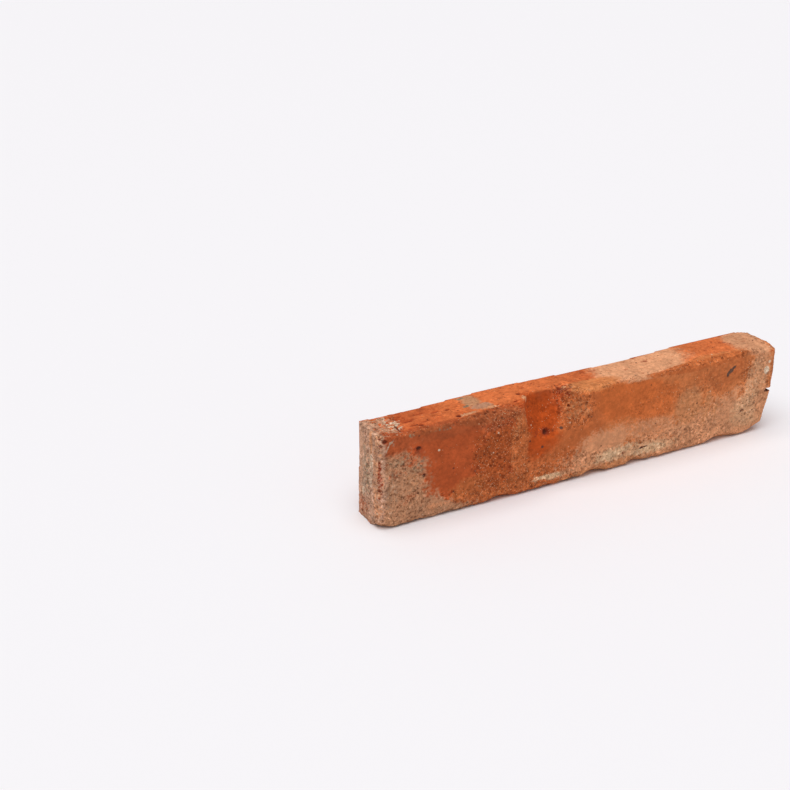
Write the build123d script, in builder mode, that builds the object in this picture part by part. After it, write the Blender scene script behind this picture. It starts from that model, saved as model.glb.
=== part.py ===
"""A brick slip: the weathered stretcher face of an old hand-moulded brick, sawn off as a thin slab.

X runs along the stretcher, the weathered face looks towards -Y, the saw cut towards +Y, and +Z is up.
The slip stands on its lower bed face, and the origin is the middle of that bed. Millimetres throughout.
"""

from build123d import *
import math
import os

# Overall size of the slip
length = 240.0
height = 51.0
thickness = 23.0

# Worn arrises along the two beds
upper_arris_radius = 1.8
lower_arris_radius = 3.8

# Upright corners of the weathered face
left_corner_radius = 3.5
right_corner_radius = 4.5

# The weathered face is very slightly crowned along its length
face_crown = 0.5

# The right end is out of square and leans in below its belly, and the left end leans in towards its head
right_end_skew = 4.2
right_foot_recess = 7.6
right_waist_recess = 3.2
right_waist_height = 22.0
right_belly_height = 42.0
right_head_recess = 0.4
left_head_recess = 1.0

# The upper bed dips and rises along its length
bed_fall_at_left = 0.8
bed_dip = 1.3
bed_dip_from_left = 18.0
bed_rise_from_left = 63.0
bed_hollow = 1.1
bed_hollow_from_right = 98.0
bed_swell = 0.2
bed_swell_from_right = 60.0
bed_shoulder = 0.6
bed_shoulder_from_right = 9.0
bed_fall_at_right = 2.8

# The largest spall of the upper arris: a deep scar with a shallower one running up to it
spall_from_left = 94.8
spall_half_length = 15.7
spall_across_bed = 11.5
spall_down_face = 23.0
spall_curve = 38.0
shoulder_from_left = 78.0
shoulder_half_length = 37.0
shoulder_across_bed = 7.6
shoulder_down_face = 3.6
shoulder_curve = 46.0

# Smaller flakes off the two long arrises: distance from the left end, half length, reach over the bed
# and reach down the face
flake_curve = 26.0
upper_flakes = [
    (29.0, 10.0, 2.2, 2.8),
    (121.0, 13.0, 2.8, 3.6),
    (192.0, 26.0, 4.4, 2.4),
]
lower_flakes = [
    (68.0, 10.0, 4.4, 4.0),
    (124.0, 10.0, 5.0, 4.4),
    (150.0, 8.0, 4.4, 4.2),
    (206.0, 13.0, 5.0, 4.6),
]

# Front corners knocked off: how far each break reaches along the arris, over the end and up the corner
upper_left_break = (10.0, 4.6, 7.5)
lower_left_break = (9.5, 9.0, 6.6)
upper_right_break = (24.0, 21.0, 4.8)
lower_right_break = (23.0, 14.0, 8.8)

# A drying crack, shaped like the rim of a lens, that opens in the front corner of the right end
crack_height = 23.4
crack_mouth = 4.0
crack_radius = 14.0
crack_depth = 10.0
crack_slope = 7.0

# Blow holes in the weathered face: distance from the left end, height and radius
blow_holes = [
    (93.7, 32.5, 1.5),
    (21.6, 40.7, 1.7),
    (25.0, 25.4, 1.1),
    (41.5, 22.4, 1.0),
    (142.0, 8.4, 1.0),
    (217.4, 13.5, 1.1),
]

left_end = -length / 2
right_end = length / 2
weathered_face = -thickness / 2
saw_cut = thickness / 2

# The rounded right corner gives the overall length, so the sharp corner it is worn from lay further out
skew_slope = right_end_skew / thickness
sharp_right_end = right_end + right_corner_radius * (skew_slope + math.hypot(1, skew_slope) - 1)


def flake(bed_side, from_left, half_length, across_bed, down_face, curve):
    """Shapes the shallow shell of clay that a knock takes off a long arris of the weathered face.

    bed_side is +1 for the upper arris and -1 for the lower one. The scar reaches across_bed over the bed
    and down_face over the face, runs half_length to each side, and is hollowed to the radius curve.
    """
    bed = height if bed_side > 0 else 0
    chord = math.hypot(across_bed, down_face)
    stand_off = math.sqrt(curve**2 - (chord / 2) ** 2)
    centre_y = weathered_face + across_bed / 2 - stand_off * down_face / chord
    centre_z = bed + bed_side * (stand_off * across_bed / chord - down_face / 2)
    to_arris = math.hypot(centre_y - weathered_face, centre_z - bed)
    reach = half_length / math.sqrt(1 - (to_arris / curve) ** 2)
    with BuildPart() as shell:
        with BuildSketch(Plane.XY):
            Ellipse(reach, curve)
            split(bisect_by=Plane.XZ, keep=Keep.BOTTOM)
        revolve(axis=Axis.X)
    return shell.part.moved(Location((left_end + from_left, centre_y, centre_z)))


def knock_off(end_side, bed_side, along, across, down):
    """Breaks a front corner off flat. The break leaves the three edges at these distances from the corner."""
    corner_x = right_end if end_side > 0 else left_end
    bed = height if bed_side > 0 else 0
    on_arris = Vector(corner_x - end_side * along, weathered_face, bed)
    on_end = Vector(corner_x, weathered_face + across, bed)
    on_upright = Vector(corner_x, weathered_face, bed - bed_side * down)
    normal = (on_end - on_arris).cross(on_upright - on_arris)
    outward = Vector(end_side, -1, bed_side)
    if normal.dot(outward) < 0:
        normal = -normal
    split(bisect_by=Plane(origin=on_arris, z_dir=normal), keep=Keep.BOTTOM)


flakes = [
    flake(1, spall_from_left, spall_half_length, spall_across_bed, spall_down_face, spall_curve),
    flake(
        1, shoulder_from_left, shoulder_half_length, shoulder_across_bed, shoulder_down_face, shoulder_curve
    ),
]
for chip in upper_flakes:
    flakes.append(flake(1, *chip, flake_curve))
for chip in lower_flakes:
    flakes.append(flake(-1, *chip, flake_curve))

with BuildPart() as brick_slip:
    # Worn cross-section, drawn seen from the right end and run the whole length
    with BuildSketch(Plane.YZ.offset(left_end)) as cross_section:
        with Locations((0, height / 2)):
            Rectangle(thickness, height)
        lower_arris = cross_section.vertices().group_by(Axis.X)[0].sort_by(Axis.Y)[0]
        fillet(lower_arris, radius=lower_arris_radius)
        upper_arris = cross_section.vertices().group_by(Axis.X)[0].sort_by(Axis.Y)[-1]
        fillet(upper_arris, radius=upper_arris_radius)
    extrude(amount=length)

    # Plan: the crowned face, the rounded upright corners and the skewed right end
    with BuildSketch(Plane.XY) as plan:
        with BuildLine():
            front = ThreePointArc(
                (left_end, weathered_face + face_crown),
                (0, weathered_face),
                (sharp_right_end, weathered_face + face_crown),
            )
            Polyline(
                front @ 1, (sharp_right_end - right_end_skew, saw_cut), (left_end, saw_cut), front @ 0
            )
        make_face()
        fillet(plan.vertices().sort_by(Axis.X)[-1], radius=right_corner_radius)
        left_corner = plan.vertices().group_by(Axis.X)[0].sort_by(Axis.Y)[0]
        fillet(left_corner, radius=left_corner_radius)
    extrude(amount=height, mode=Mode.INTERSECT)

    # Elevation: the bed that rises and falls, and the ends that lean in below their belly
    with BuildSketch(Plane.XZ.offset(-saw_cut)) as elevation:
        with BuildLine():
            bed_line = Spline(
                (left_end + left_head_recess, height - bed_fall_at_left),
                (left_end + bed_dip_from_left, height - bed_dip),
                (left_end + bed_rise_from_left, height),
                (right_end - bed_hollow_from_right, height - bed_hollow),
                (right_end - bed_swell_from_right, height - bed_swell),
                (right_end - bed_shoulder_from_right, height - bed_shoulder),
                (right_end - right_head_recess, height - bed_fall_at_right),
            )
            right_side = Spline(
                bed_line @ 1,
                (right_end, right_belly_height),
                (right_end - right_waist_recess, right_waist_height),
                (right_end - right_foot_recess, 0),
            )
            Polyline(right_side @ 1, (left_end, 0), bed_line @ 0)
        make_face()
    extrude(amount=thickness, mode=Mode.INTERSECT)

    # Spalls and flakes off the arrises
    for chip in flakes:
        add(chip, mode=Mode.SUBTRACT)

    # Broken front corners
    knock_off(-1, 1, *upper_left_break)
    knock_off(-1, -1, *lower_left_break)
    knock_off(1, 1, *upper_right_break)
    knock_off(1, -1, *lower_right_break)

    # Drying crack in the right end
    crack_centre = (right_end + crack_radius - crack_depth, weathered_face, crack_height)
    with Locations(Location(crack_centre, (0, crack_slope, 0))):
        on_centre = Align.CENTER
        Cone(crack_radius, 0, crack_mouth / 2, align=(on_centre, on_centre, Align.MIN), mode=Mode.SUBTRACT)
        Cone(0, crack_radius, crack_mouth / 2, align=(on_centre, on_centre, Align.MAX), mode=Mode.SUBTRACT)

    # Blow holes
    for from_left, hole_height, hole_radius in blow_holes:
        with Locations((left_end + from_left, weathered_face, hole_height)):
            Sphere(hole_radius, rotation=(90, 0, 30), mode=Mode.SUBTRACT)

brick_slip.part.label = "brick_slip"
os.makedirs("parts", exist_ok=True)
export_step(brick_slip.part, "parts/brick_slip.step")
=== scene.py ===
# %% [markdown]
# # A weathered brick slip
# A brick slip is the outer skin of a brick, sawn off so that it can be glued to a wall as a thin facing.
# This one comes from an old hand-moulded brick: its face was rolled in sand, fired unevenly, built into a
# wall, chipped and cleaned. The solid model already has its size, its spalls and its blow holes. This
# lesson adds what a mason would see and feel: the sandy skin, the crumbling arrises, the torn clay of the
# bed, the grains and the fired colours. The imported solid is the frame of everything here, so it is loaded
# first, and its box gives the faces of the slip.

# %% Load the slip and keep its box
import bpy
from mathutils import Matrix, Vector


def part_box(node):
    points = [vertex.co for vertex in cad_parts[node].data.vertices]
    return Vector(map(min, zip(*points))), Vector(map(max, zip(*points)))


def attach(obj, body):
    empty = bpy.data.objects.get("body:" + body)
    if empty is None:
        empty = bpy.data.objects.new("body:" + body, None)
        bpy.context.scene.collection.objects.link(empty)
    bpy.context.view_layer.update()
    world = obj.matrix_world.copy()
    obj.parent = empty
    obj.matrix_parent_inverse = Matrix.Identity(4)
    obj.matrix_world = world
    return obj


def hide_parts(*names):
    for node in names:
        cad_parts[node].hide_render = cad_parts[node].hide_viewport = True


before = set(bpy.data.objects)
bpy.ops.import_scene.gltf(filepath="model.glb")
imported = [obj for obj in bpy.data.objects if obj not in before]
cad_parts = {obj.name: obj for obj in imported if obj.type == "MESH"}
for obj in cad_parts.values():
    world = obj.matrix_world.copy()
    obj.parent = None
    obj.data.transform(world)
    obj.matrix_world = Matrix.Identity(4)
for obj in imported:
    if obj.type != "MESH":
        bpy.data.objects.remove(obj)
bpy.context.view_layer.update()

# %% [markdown]
# Blender counts in metres and a mason in millimetres. One factor turns the one into the other, and the
# faces of the slip are read from the frame, so that every place below can be given in millimetres from
# them.

# %% Millimetres, and the faces of the slip
import bmesh
import bpy
import math
from mathutils import Matrix, Vector

MM = 0.001
low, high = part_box("brick_slip")
LEFT_END, FACE, BED_BELOW = [round(side / MM, 1) for side in low]
RIGHT_END, SAW_CUT, BED_ABOVE = [round(side / MM, 1) for side in high]
print("face at y", FACE, "saw cut at y", SAW_CUT, "upper bed at z", BED_ABOVE)

# %% [markdown]
# ## Camera
# The slip is photographed from the front left and above. A camera could be aimed with a constraint. Here
# its place is given with the directions of right and up in its picture, which also hold the slight roll
# of a camera held by hand. The focal length follows from a view 790 pixels wide.

# %% Camera
VIEW_PIXELS = 790
FOCAL_PIXELS = 1400
SENSOR = 36.0
CAMERA_PLACE = (-371.68, -529.37, 358.91)
CAMERA_RIGHT = Vector((0.89255, -0.45093, -0.00338))
CAMERA_UP = Vector((0.20256, 0.39420, 0.89642))


def new_object(name, data):
    """A new object with this data, in the scene."""
    made = bpy.data.objects.new(name, data)
    bpy.context.scene.collection.objects.link(made)
    return made


camera_data = bpy.data.cameras.new("camera")
camera_data.sensor_width = SENSOR
camera_data.lens = SENSOR * FOCAL_PIXELS / VIEW_PIXELS
camera_data.clip_start = 0.01
camera_data.clip_end = 100
camera = new_object("camera", camera_data)
turn = Matrix((CAMERA_RIGHT, CAMERA_UP, CAMERA_RIGHT.cross(CAMERA_UP))).transposed()
camera.matrix_world = Matrix.Translation(Vector(CAMERA_PLACE) * MM) @ turn.to_4x4()
bpy.context.scene.camera = camera
print("lens", round(camera_data.lens, 1), "mm")

# %% [markdown]
# ## Small tools for node trees
# Both the geometry and the material below are node trees. Adding nodes one by one is long-winded, so a
# few helpers keep the lines readable. `add` makes a node and fills its inputs with values or links. The
# others name the steps that come back most often: sums and products, vectors, a soft step, a noise and
# the inside of an egg-shaped region.

# %% Nodes, numbers and vectors
def add(tree, kind, inputs=None, **settings):
    """Adds a node with these settings, and fills its inputs with plain values or links."""
    made = tree.nodes.new(kind)
    for name, value in settings.items():
        setattr(made, name, value)
    for key, value in (inputs or {}).items():
        if isinstance(value, bpy.types.NodeSocket):
            tree.links.new(value, made.inputs[key])
        else:
            made.inputs[key].default_value = value
    return made


def calc(tree, operation, *values):
    """One step of arithmetic on numbers."""
    return add(tree, "ShaderNodeMath", dict(enumerate(values)), operation=operation).outputs[0]


def plus(tree, first, *others):
    """The sum of these numbers."""
    for number in others:
        first = calc(tree, "ADD", first, number)
    return first


def times(tree, first, *others):
    """The product of these numbers."""
    for number in others:
        first = calc(tree, "MULTIPLY", first, number)
    return first


def vector_step(tree, operation, *values):
    """One step of arithmetic on vectors."""
    made = add(tree, "ShaderNodeVectorMath", dict(enumerate(values)), operation=operation)
    return made.outputs["Value" if operation in ("LENGTH", "DOT_PRODUCT") else "Vector"]


def scaled(tree, vector, factor):
    """A vector times a number."""
    return add(tree, "ShaderNodeVectorMath", {0: vector, "Scale": factor}, operation="SCALE").outputs[0]


def split(tree, vector):
    """The three numbers of a vector, or the three channels of a colour."""
    return add(tree, "ShaderNodeSeparateXYZ", {0: vector}).outputs


def join(tree, *numbers):
    """A vector of up to three numbers."""
    return add(tree, "ShaderNodeCombineXYZ", dict(enumerate(numbers))).outputs[0]


# %% Steps, noises and regions
def soft_step(tree, value, start, end, first=0.0, last=1.0):
    """Goes smoothly from first to last while the value goes from start to end."""
    inputs = {"Value": value, "From Min": start, "From Max": end, "To Min": first, "To Max": last}
    return add(tree, "ShaderNodeMapRange", inputs, interpolation_type="SMOOTHSTEP").outputs["Result"]


def noise(tree, place, width, detail, roughness, seed):
    """A noise from 0 to 1 whose largest forms are about this many millimetres wide, with its colour."""
    inputs = {"Vector": place, "W": seed, "Scale": 1.0 / width, "Detail": detail, "Roughness": roughness}
    return add(tree, "ShaderNodeTexNoise", inputs, noise_dimensions="4D")


def drawn_out(tree, x, y, z, length, width):
    """A place that draws a noise out to this length along x and z, and to this width along y."""
    sizes = ((x, length), (y, width), (z, length))
    return join(tree, *[calc(tree, "DIVIDE", part, size) for part, size in sizes])


def egg(tree, place, centre, radii, tilt=0):
    """The distance from a centre, counted in radii: 1 on an egg-shaped skin, less inside.

    The egg is tilted by this many degrees as seen from the front, with its right side up.
    """
    offset = vector_step(tree, "SUBTRACT", place, centre)
    if tilt == 0:
        return vector_step(tree, "LENGTH", vector_step(tree, "DIVIDE", offset, radii))
    across, up = math.cos(math.radians(tilt)), math.sin(math.radians(tilt))
    in_radii = join(
        tree,
        vector_step(tree, "DOT_PRODUCT", offset, (across / radii[0], 0, up / radii[0])),
        vector_step(tree, "DOT_PRODUCT", offset, (0, 1 / radii[1], 0)),
        vector_step(tree, "DOT_PRODUCT", offset, (-up / radii[2], 0, across / radii[2])),
    )
    return vector_step(tree, "LENGTH", in_radii)


# %% [markdown]
# ## Relief of the fired clay
# The skin of a hand-moulded brick is never flat. It swells where the clay was pressed unevenly, has lumps
# a few millimetres wide, and carries the print of the sand. The beds were struck off with a wire or a
# board, which tears long creases into the clay. Every arris that weather and trowels could reach has lost
# crumbs. The saw cut alone is flat, with fine ripples from the blade.
#
# One could sculpt this or bump it in the material. Bump doesn't change an outline, and the outline of
# this piece is all in its ragged edges. A height that depends only on the place is a rule, so it suits
# Geometry Nodes: the clay is cut into a fine even mesh, and each point moves along its normal by a sum of
# noises. All heights and widths are named inputs in millimetres.

# %% Sizes of the relief
RELIEF = {
    "Seed": 4.0,
    "Softening": 2.0,
    "Swell height": 0.40,
    "Swell width": 30.0,
    "Lump height": 0.45,
    "Lump width": 6.0,
    "Grain height": 0.30,
    "Grain width": 1.2,
    "Arris wear": 1.0,
    "Arris reach": 3.0,
    "Arris crumb width": 4.0,
    "Crisp arris": 0.5,
    "Crease depth": 0.9,
    "Crease length": 6.0,
    "Crease width": 1.0,
    "End rib height": 0.5,
    "End rib length": 16.0,
    "End rib width": 2.6,
    "Pit depth": 0.9,
    "Pit spacing": 4.2,
    "Saw ripple": 0.05,
}

# Sandy places are rougher than the pressed red skin: centre, radii in millimetres, and strength
ROUGH_PLACES = [
    ((-109, FACE, 20), (15, 8, 24), 1.0),
    ((-90, FACE, 5), (34, 8, 9), 0.9),
    ((-53, FACE, 24), (17, 8, 24), 1.0),
    ((-54, FACE, 47), (14, 8, 6), 0.5),
    ((-22, FACE, 10), (24, 8, 12), 0.6),
    ((20, FACE, 7), (70, 8, 9), 0.7),
    ((-8, FACE, 40), (11, 9, 11), 0.9),
    ((50, FACE, 24), (32, 8, 22), 0.4),
    ((84, FACE, 14), (28, 8, 14), 0.4),
    ((84, FACE, 38), (22, 8, 12), 0.25),
    ((106, FACE, 28), (12, 9, 22), 0.7),
    ((-27, FACE + 3, 42), (15, 9, 13), 0.45),
    ((-120, 0, 26), (8, 14, 32), 1.2),
    ((-113, 4, 50), (10, 9, 8), 1.6),
    ((-13, -5, 49), (7, 6, 6), 1.8),
    ((120, 3, 26), (9, 15, 34), 0.7),
]

# Dents that are larger than the noise gives: centre, radii and depth
DENTS = [
    ((-74.0, -6.0, 50.4), (1.6, 1.4, 3), 1.7),
    ((-36.6, 0.7, 51), (1.5, 1.2, 3), 1.6),
    ((-31.8, 5.6, 51), (2.4, 0.9, 3), 1.2),
    ((43.6, 5.0, 50), (1.8, 1.5, 3), 1.4),
    ((-94.0, -5.1, 49.8), (1.9, 1.3, 3), 1.6),
    ((-102.8, 5.7, 49.7), (1.5, 0.9, 3), 1.2),
    ((-108.3, 4.2, 49.8), (1.6, 0.8, 3), 1.1),
    ((-106.0, -3.5, 49.8), (0.7, 3.8, 3), 1.3),
    ((-100.6, -6.2, 49.7), (1.3, 0.8, 3), 0.9),
    ((-14.0, -3.0, 49.5), (2.6, 2.2, 4), 1.6),
    ((-11.0, -7.0, 48), (2.2, 1.8, 4), 1.4),
    ((12.0, 8.0, 50), (3.2, 1.2, 3), 1.0),
    ((94.0, 4.0, 50), (1.6, 2.0, 3), 0.9),
    ((-25.3, -8.6, 31.2), (1.8, 2.4, 1.6), 1.5),
    ((-95.0, FACE, 25.4), (1.3, 3, 1.2), 0.4),
    ((22.0, FACE, 8.4), (1.3, 3, 1.1), 0.6),
    ((-98.0, 1.3, 50), (4.2, 0.8, 3), 1.1),
    ((-81.8, 3.3, 50), (3.8, 0.7, 3), 1.0),
    ((-75.9, 2.8, 50), (2.8, 0.8, 3), 1.0),
    ((-97.0, -3.8, 50), (3.2, 0.7, 3), 1.0),
    ((-104.0, -7.0, 50), (2.6, 0.7, 3), 0.9),
    ((-90.5, -2.5, 50), (3.4, 0.7, 3), 0.9),
    ((-90.7, 5.5, 50), (4.4, 0.7, 3), 1.0),
    ((-60.0, -4.5, 50), (3.0, 0.7, 3), 0.6),
    ((-48.0, 4.0, 50), (2.4, 0.7, 3), 0.6),
    ((-41.0, -3.0, 50), (2.0, 0.7, 3), 0.6),
    ((98.8, FACE, 15.4), (1.8, 3, 0.7), 0.45),
    ((34.6, FACE, 9.0), (2.4, 3, 0.6), 0.6),
    ((-17.3, FACE, 32.0), (1.6, 3, 1.2), 0.5),
    ((-28.2, FACE, 24.4), (1.1, 3, 1.0), 0.5),
    ((117.0, -9.0, 23.9), (7.0, 6, 0.9), 0.4),
    ((42.0, 5.4, 50), (1.6, 1.0, 3), 1.0),
    ((92.2, 4.6, 50), (2.0, 1.2, 3), 0.8),
    ((-14.5, FACE, 39.5), (1.1, 3, 1.4), 0.7),
    ((-118.6, -10.1, 46.0), (2.0, 2.2, 1.2), 1.5),
    ((-116.0, -10.4, 48.2), (1.7, 2.2, 1.4), 1.5),
    ((-118.0, -8.4, 49.4), (1.4, 1.4, 1.2), 1.1),
]

# Lumps that stand proud: on the left end, and in the mouth of the crack in the right end
LUMPS = [
    ((-118.5, -9.0, 31), (3, 1.8, 4.0), 0.8),
    ((-118.5, -8.4, 24), (3, 1.7, 3.5), 0.9),
    ((-118.5, -9.2, 17), (3, 1.8, 4.0), 0.8),
    ((-118.0, -7.0, 39), (3, 1.5, 5.0), 0.5),
    ((-119.0, 2.0, 33), (3, 1.6, 8.0), 0.5),
    ((-119.0, 5.0, 20), (3, 1.6, 7.0), 0.5),
    ((118.5, -9.5, 24.2), (4, 5, 2.2), 0.5),
]
print(len(ROUGH_PLACES), "rough places,", len(DENTS), "dents and", len(LUMPS), "lumps")

# %% [markdown]
# The teeth of the saw ran on arcs round the middle of its blade. One helper says how far a point of the
# cut is from there, for the ripples here and for the arcs of colour later.

# %% Path of the saw blade
BLADE_MIDDLE = (-60.0, -230.0)
BLADE_MARK = 1.4


def distance_from(tree, first, first_place, second, second_place):
    """The distance from a line that runs along the third direction."""
    offsets = calc(tree, "SUBTRACT", first, first_place), calc(tree, "SUBTRACT", second, second_place)
    return vector_step(tree, "LENGTH", join(tree, *offsets))


def blade_path(tree, x, z):
    """How far a point of the saw cut is from the middle of the blade, counted in marks of its teeth."""
    distance = distance_from(tree, x, BLADE_MIDDLE[0], z, BLADE_MIDDLE[1])
    return join(tree, calc(tree, "DIVIDE", distance, BLADE_MARK))


# %% [markdown]
# Not all of the skin is equally rough: pressed red clay is smooth, a sandy bloom is rough, and an arris
# crumbles. Two helpers say how near each point is to the worn edges, and how rough its skin is.

# %% Nearness of the edges, and roughness
SMOOTH_SKIN = 0.35
ROUGHEST_SKIN = 1.6
LOWER_ARRIS_SPARED = 0.15


def edge_distances(tree, x, y, z, reach):
    """The distance from each worn edge, counted in reaches of the wear. The two long arrises come first."""
    edges = (
        (y, FACE, z, BED_ABOVE),
        (y, FACE, z, BED_BELOW),
        (x, LEFT_END, y, FACE),
        (x, LEFT_END, z, BED_ABOVE),
        (x, RIGHT_END, y, FACE),
        (x, RIGHT_END, z, BED_ABOVE),
    )
    distances = [calc(tree, "DIVIDE", distance_from(tree, *edge), reach) for edge in edges]
    distances[1] = plus(tree, distances[1], LOWER_ARRIS_SPARED)
    return distances


def roughness_of(tree, place, on_bed, edges, nearest):
    """How rough the skin is: the smooth pressed red, the sandy places, the bed and the arrises."""
    rough = SMOOTH_SKIN
    for centre, radii, strength in ROUGH_PLACES:
        inside = soft_step(tree, egg(tree, place, centre, radii), 1.25, 0.7, 0.0, strength)
        rough = plus(tree, rough, inside)
    rough = calc(tree, "MINIMUM", plus(tree, rough, times(tree, on_bed, 0.3)), ROUGHEST_SKIN)
    near_any = soft_step(tree, nearest, 1.6, 0.4, 0.0, 0.5)
    return plus(tree, rough, near_any, soft_step(tree, edges[1], 2.0, 0.6, 0.0, 0.4))


# %% [markdown]
# The wire that struck off the bed left tears along it, and the mould left upright ribs on the left end:
# both are a noise that is drawn out one way. Pits are cells of a Voronoi pattern, because each is a round
# hole by itself.

# %% Creases, ribs and pits
def creases(tree, x, y, z, on_bed, size):
    """Tears along the bed, from only the deepest valleys of a noise."""
    drawn = drawn_out(tree, x, y, z, size["Crease length"], size["Crease width"])
    torn = noise(tree, drawn, 1.0, 2.0, 0.6, 3.0)
    return times(tree, soft_step(tree, torn.outputs["Fac"], 0.41, 0.34), size["Crease depth"], on_bed)


def end_ribs(tree, x, y, z, normal_x, size):
    """Ribs on the left end, which was dragged upright against the mould."""
    on_end = soft_step(tree, normal_x, -0.45, -0.8)
    drawn = drawn_out(tree, x, y, z, size["End rib length"], size["End rib width"])
    ribs = noise(tree, drawn, 1.0, 2.0, 0.6, 5.0)
    ribs = calc(tree, "MULTIPLY_ADD", ribs.outputs["Fac"], 2.0, -1.0)
    return times(tree, ribs, size["End rib height"], on_end)


def pits(tree, place, rough, size):
    """Small pits in some of the cells of a pattern, deeper where the skin is rough."""
    spacing = calc(tree, "DIVIDE", 1.0, size["Pit spacing"])
    cells = add(tree, "ShaderNodeTexVoronoi", {"Vector": place, "Scale": spacing})
    chance = split(tree, cells.outputs["Color"])
    pit_radius = calc(tree, "MULTIPLY_ADD", chance[1], 0.12, 0.05)
    inside = soft_step(tree, calc(tree, "DIVIDE", cells.outputs["Distance"], pit_radius), 1.3, 0.4)
    return times(tree, inside, soft_step(tree, chance[0], 0.55, 0.75), rough, size["Pit depth"])


# %% Worn arrises, dents and lumps
def worn_off(tree, edges, nearest, crumbs, size):
    """What the arrises lost in crumbs. The upper front one stands out a little where it is whole."""
    eaten = soft_step(tree, crumbs, 0.05, 0.4)
    wear = times(tree, soft_step(tree, nearest, 1.0, 0.0), eaten, size["Arris wear"])
    crisp = times(tree, soft_step(tree, edges[0], 0.6, 0.25), size["Crisp arris"])
    return calc(tree, "SUBTRACT", wear, crisp)


def strongest(tree, place, ragged, places):
    """The strongest of these dents or lumps at each point, each with a ragged rim."""
    most = 0.0
    for centre, radii, amount in places:
        away = plus(tree, egg(tree, place, centre, radii), ragged)
        most = calc(tree, "MAXIMUM", most, soft_step(tree, away, 1.1, 0.3, 0.0, amount))
    return most


# %% [markdown]
# The tree adds these up. It first softens the rims, as weather did, and then moves each point along its
# normal. It stores two numbers for the material: how hollow the skin is, for dirt and painted shade, and
# how rough.
# Both are captured before the points move, because a place read later would be another one.

# %% Start and end of a geometry tree
def new_tree(name, sizes):
    """A geometry tree whose sizes are named inputs, with its input and output nodes."""
    tree = bpy.data.node_groups.new(name, "GeometryNodeTree")
    tree.interface.new_socket("Geometry", in_out="INPUT", socket_type="NodeSocketGeometry")
    tree.interface.new_socket("Geometry", in_out="OUTPUT", socket_type="NodeSocketGeometry")
    for label in sizes:
        tree.interface.new_socket(label, in_out="INPUT", socket_type="NodeSocketFloat")
    return tree, tree.nodes.new("NodeGroupInput").outputs, tree.nodes.new("NodeGroupOutput").inputs


def end_tree(tree, geometry, material, out):
    """Makes everything plain mesh, gives it its material, and hands it out."""
    whole = add(tree, "GeometryNodeRealizeInstances", {"Geometry": geometry})
    finished = add(tree, "GeometryNodeSetMaterial", {"Geometry": whole.outputs[0], "Material": material})
    tree.links.new(finished.outputs[0], out["Geometry"])
    return tree


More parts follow.
